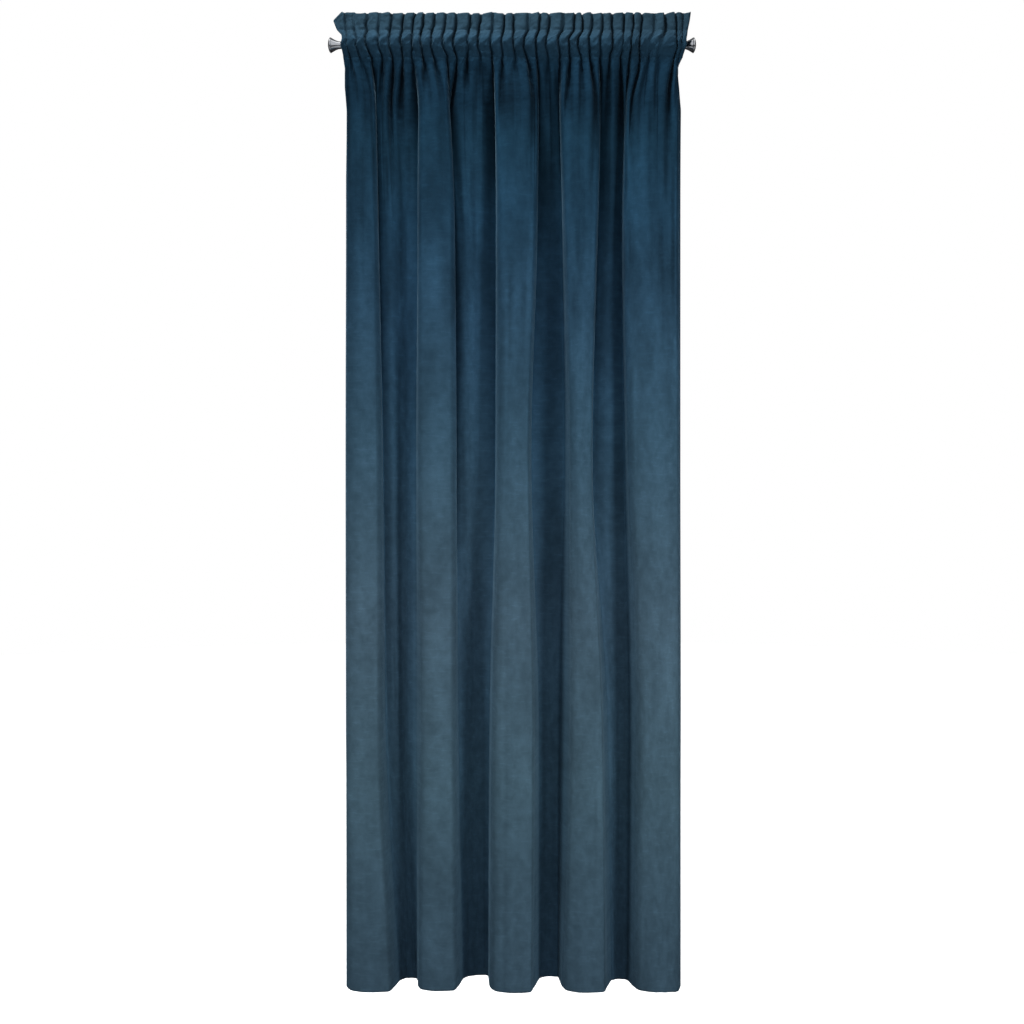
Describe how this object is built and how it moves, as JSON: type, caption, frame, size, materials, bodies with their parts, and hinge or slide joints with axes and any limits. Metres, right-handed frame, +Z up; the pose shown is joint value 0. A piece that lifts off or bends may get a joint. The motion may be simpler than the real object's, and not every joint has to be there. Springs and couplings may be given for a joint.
{
  "type": "blackout curtain on a rod",
  "caption": "Gathered velvet blackout curtain with a stand-up frill and a heading tape, hanging in soft uneven folds from a plain round rod with trumpet finials.",
  "frame": {"origin": "middle of the rod's axis, where whatever carries the rod holds it up", "axes": "+Z up along the drop, +X along the rod to the viewer's right, +Y away from the room, so the cloth's face looks along -Y"},
  "size_m": [0.9486, 0.1321, 2.5022],
  "materials": {
    "velvet": "soft velvet pile, matt with a pale sheen at grazing angles",
    "tape_cloth": "plain woven tape, matt",
    "chrome": "polished"
  },
  "bodies": {
    "root": {"curtain_panel": "velvet", "heading_tape": "tape_cloth", "rod": "chrome", "finial_left": "chrome", "finial_right": "chrome"}
  },
  "joints": []
}
